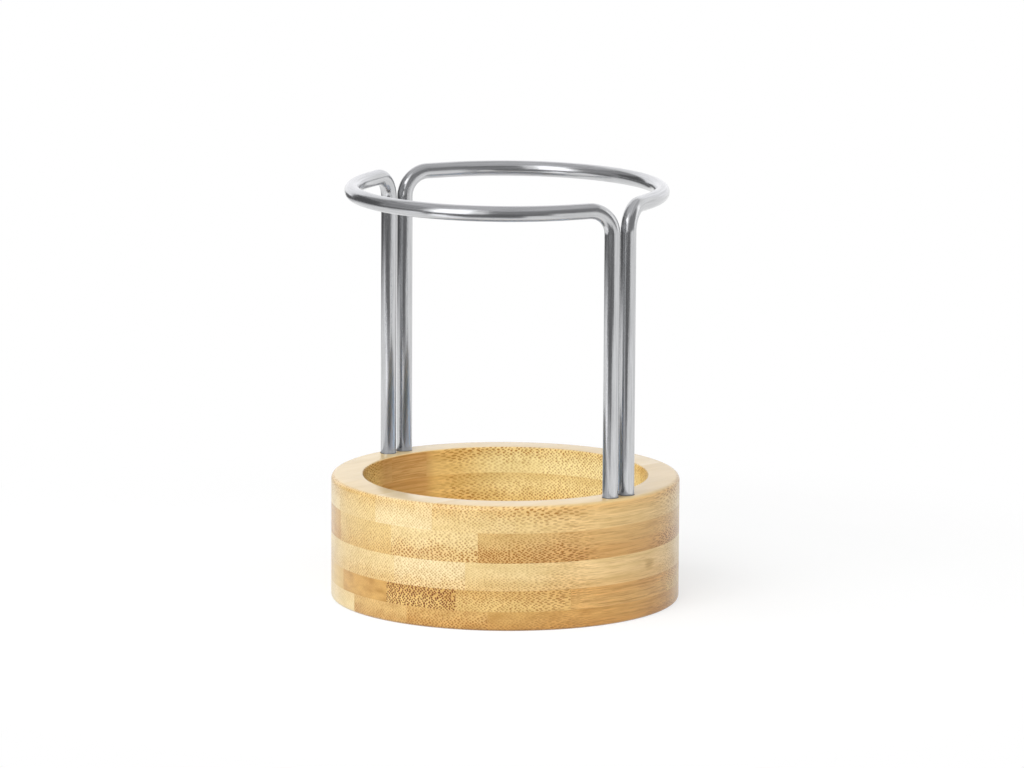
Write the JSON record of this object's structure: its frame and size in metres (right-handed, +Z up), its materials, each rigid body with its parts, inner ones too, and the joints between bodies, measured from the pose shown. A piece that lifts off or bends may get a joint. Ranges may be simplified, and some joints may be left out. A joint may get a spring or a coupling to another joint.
{
  "type": "pen holder",
  "caption": "Round desk pen holder: a low cup turned from laminated bamboo, with a steel ring of bent rods standing on its rim.",
  "frame": {"origin": "centre of the cup's round underside, on the surface that it stands on", "axes": "+Z up through the cup and the ring, X through the two pairs of rod legs, Y along the bamboo's fibres, with the front rod towards -Y"},
  "size_m": [0.085, 0.085, 0.1019],
  "materials": {
    "pale_bamboo": "satin lacquered bamboo",
    "honey_bamboo": "satin lacquered bamboo",
    "amber_bamboo": "satin lacquered bamboo",
    "brown_bamboo": "satin lacquered bamboo",
    "steel_rod": "bright satin stainless steel"
  },
  "bodies": {
    "root": {"foot_ply_strip_1": "pale_bamboo", "foot_ply_strip_2": "pale_bamboo", "foot_ply_strip_3": "honey_bamboo", "foot_ply_strip_4": "honey_bamboo", "foot_ply_strip_5": "amber_bamboo", "floor_ply_strip_1": "honey_bamboo", "floor_ply_strip_2": "pale_bamboo", "floor_ply_strip_3": "amber_bamboo", "floor_ply_strip_4": "brown_bamboo", "floor_ply_strip_5": "honey_bamboo", "floor_ply_strip_6": "amber_bamboo", "lower_wall_ply_strip_1": "honey_bamboo", "lower_wall_ply_strip_2_front": "pale_bamboo", "lower_wall_ply_strip_2_back": "pale_bamboo", "lower_wall_ply_strip_3_front": "pale_bamboo", "lower_wall_ply_strip_3_back": "pale_bamboo", "lower_wall_ply_strip_4_front": "pale_bamboo", "lower_wall_ply_strip_4_back": "pale_bamboo", "lower_wall_ply_strip_5": "honey_bamboo", "upper_wall_ply_strip_1": "brown_bamboo", "upper_wall_ply_strip_2_front": "honey_bamboo", "upper_wall_ply_strip_2_back": "honey_bamboo", "upper_wall_ply_strip_3_front": "pale_bamboo", "upper_wall_ply_strip_3_back": "pale_bamboo", "upper_wall_ply_strip_4": "amber_bamboo", "rim_ply_strip_1": "amber_bamboo", "rim_ply_strip_2_front": "pale_bamboo", "rim_ply_strip_2_back": "pale_bamboo", "rim_ply_strip_3_front": "honey_bamboo", "rim_ply_strip_3_back": "honey_bamboo", "rim_ply_strip_4_front": "pale_bamboo", "rim_ply_strip_4_back": "pale_bamboo", "rim_ply_strip_5_front": "honey_bamboo", "rim_ply_strip_5_back": "honey_bamboo", "rim_ply_strip_6": "honey_bamboo", "front_rod": "steel_rod", "back_rod": "steel_rod"}
  },
  "joints": []
}
